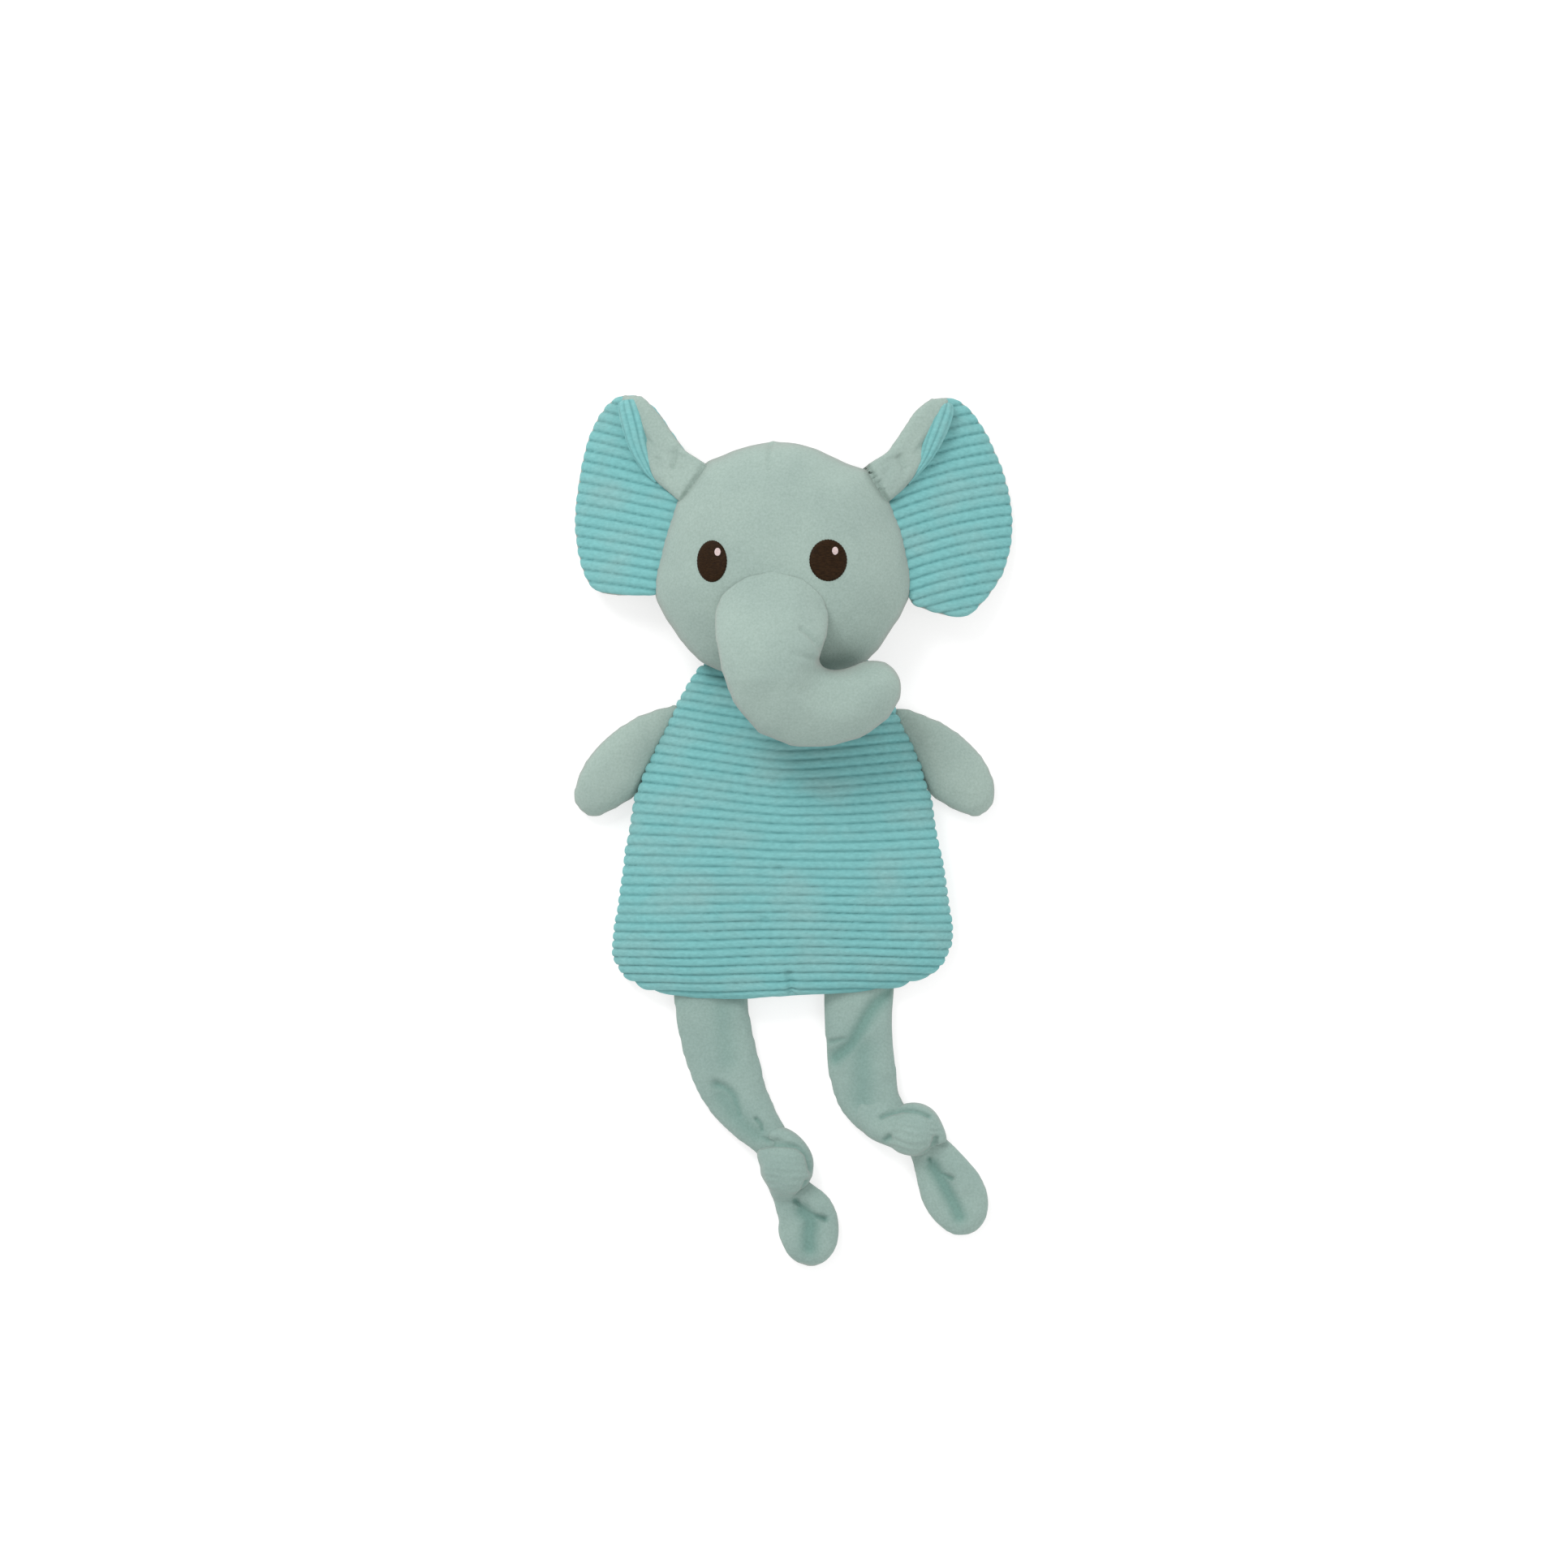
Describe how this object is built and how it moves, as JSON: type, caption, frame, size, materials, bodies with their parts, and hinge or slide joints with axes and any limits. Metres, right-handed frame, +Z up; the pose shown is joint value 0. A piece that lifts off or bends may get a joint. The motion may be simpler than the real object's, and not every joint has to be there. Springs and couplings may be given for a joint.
{
  "type": "stuffed elephant",
  "caption": "Soft toy elephant with a flat corduroy body, stuffed head and trunk, folded ears, flap arms and long knotted legs.",
  "frame": {"origin": "on the surface that the toy lies on, under the middle of the torso's back", "axes": "+X to the right as seen from above the belly, +Y towards the top of the head, +Z up out of the belly"},
  "size_m": [0.173, 0.3443, 0.068],
  "materials": {
    "plush": "matte",
    "corduroy": "matte",
    "stuffing": "matte",
    "eye_thread": "satin",
    "glint_thread": "satin"
  },
  "bodies": {
    "torso": {"torso_front": "corduroy", "torso_back": "plush", "torso_stuffing": "stuffing"},
    "head": {"head_front": "plush", "head_back": "plush", "head_stuffing": "stuffing", "eye_left": "eye_thread", "eye_right": "eye_thread", "eye_left_glint": "glint_thread", "eye_right_glint": "glint_thread"},
    "trunk": {"trunk_front": "plush", "trunk_back": "plush", "trunk_stuffing": "stuffing"},
    "ear_left": {"ear_left_front": "corduroy", "ear_left_back": "plush", "ear_left_fold": "plush"},
    "ear_right": {"ear_right_front": "corduroy", "ear_right_back": "plush", "ear_right_fold": "plush"},
    "arm_left": {"arm_left_front": "plush", "arm_left_back": "plush", "arm_left_stuffing": "stuffing"},
    "arm_right": {"arm_right_front": "plush", "arm_right_back": "plush", "arm_right_stuffing": "stuffing"},
    "leg_left": {"leg_left_front": "plush", "leg_left_back": "plush"},
    "leg_right": {"leg_right_front": "plush", "leg_right_back": "plush"},
    "knot_left": {"knot_left": "plush"},
    "knot_right": {"knot_right": "plush"},
    "foot_left": {"foot_left_front": "plush", "foot_left_back": "plush"},
    "foot_right": {"foot_right_front": "plush", "foot_right_back": "plush"}
  },
  "joints": [
    {"name": "neck_tilt", "type": "hinge", "parent": "torso", "child": "head", "pos_m": [0, 0.082, 0.012], "axis": [0, 0, 1], "range_deg": [-15, 15]},
    {"name": "trunk_lift", "type": "hinge", "parent": "head", "child": "trunk", "pos_m": [-0.0045, 0.1016, 0.0465], "axis": [-1, 0, 0], "range_deg": [0, 60]},
    {"name": "ear_left_lift", "type": "hinge", "parent": "head", "child": "ear_left", "pos_m": [-0.04775, 0.11875, 0.0205], "axis": [0.3262, 0.9453, 0], "range_deg": [0, 70]},
    {"name": "ear_right_lift", "type": "hinge", "parent": "head", "child": "ear_right", "pos_m": [0.04975, 0.11675, 0.0205], "axis": [0.2631, -0.9648, 0], "range_deg": [0, 70]},
    {"name": "shoulder_left", "type": "hinge", "parent": "torso", "child": "arm_left", "pos_m": [-0.0518, 0.031, 0.007], "axis": [0.4281, 0.9037, 0], "range_deg": [0, 60]},
    {"name": "shoulder_right", "type": "hinge", "parent": "torso", "child": "arm_right", "pos_m": [0.0523, 0.0305, 0.007], "axis": [0.4175, -0.9087, 0], "range_deg": [0, 60]},
    {"name": "hip_left", "type": "hinge", "parent": "torso", "child": "leg_left", "pos_m": [-0.029, -0.0673, 0.009], "axis": [-1, 0, 0], "range_deg": [0, 120]},
    {"name": "hip_right", "type": "hinge", "parent": "torso", "child": "leg_right", "pos_m": [0.03, -0.0654, 0.009], "axis": [-1, 0, 0], "range_deg": [0, 120]},
    {"name": "knot_swing_left", "type": "hinge", "parent": "leg_left", "child": "knot_left", "pos_m": [0.0006, -0.1302, 0.009], "axis": [0, 0, 1], "range_deg": [-25, 25]},
    {"name": "knot_swing_right", "type": "hinge", "parent": "leg_right", "child": "knot_right", "pos_m": [0.0509, -0.1174, 0.009], "axis": [0, 0, 1], "range_deg": [-25, 25]},
    {"name": "foot_lift_left", "type": "hinge", "parent": "knot_left", "child": "foot_left", "pos_m": [0.003, -0.143, 0.009], "axis": [-0.9064, -0.4225, 0], "range_deg": [0, 60]},
    {"name": "foot_lift_right", "type": "hinge", "parent": "knot_right", "child": "foot_right", "pos_m": [0.0577, -0.128, 0.009], "axis": [-0.8759, -0.4825, 0], "range_deg": [0, 60]}
  ]
}
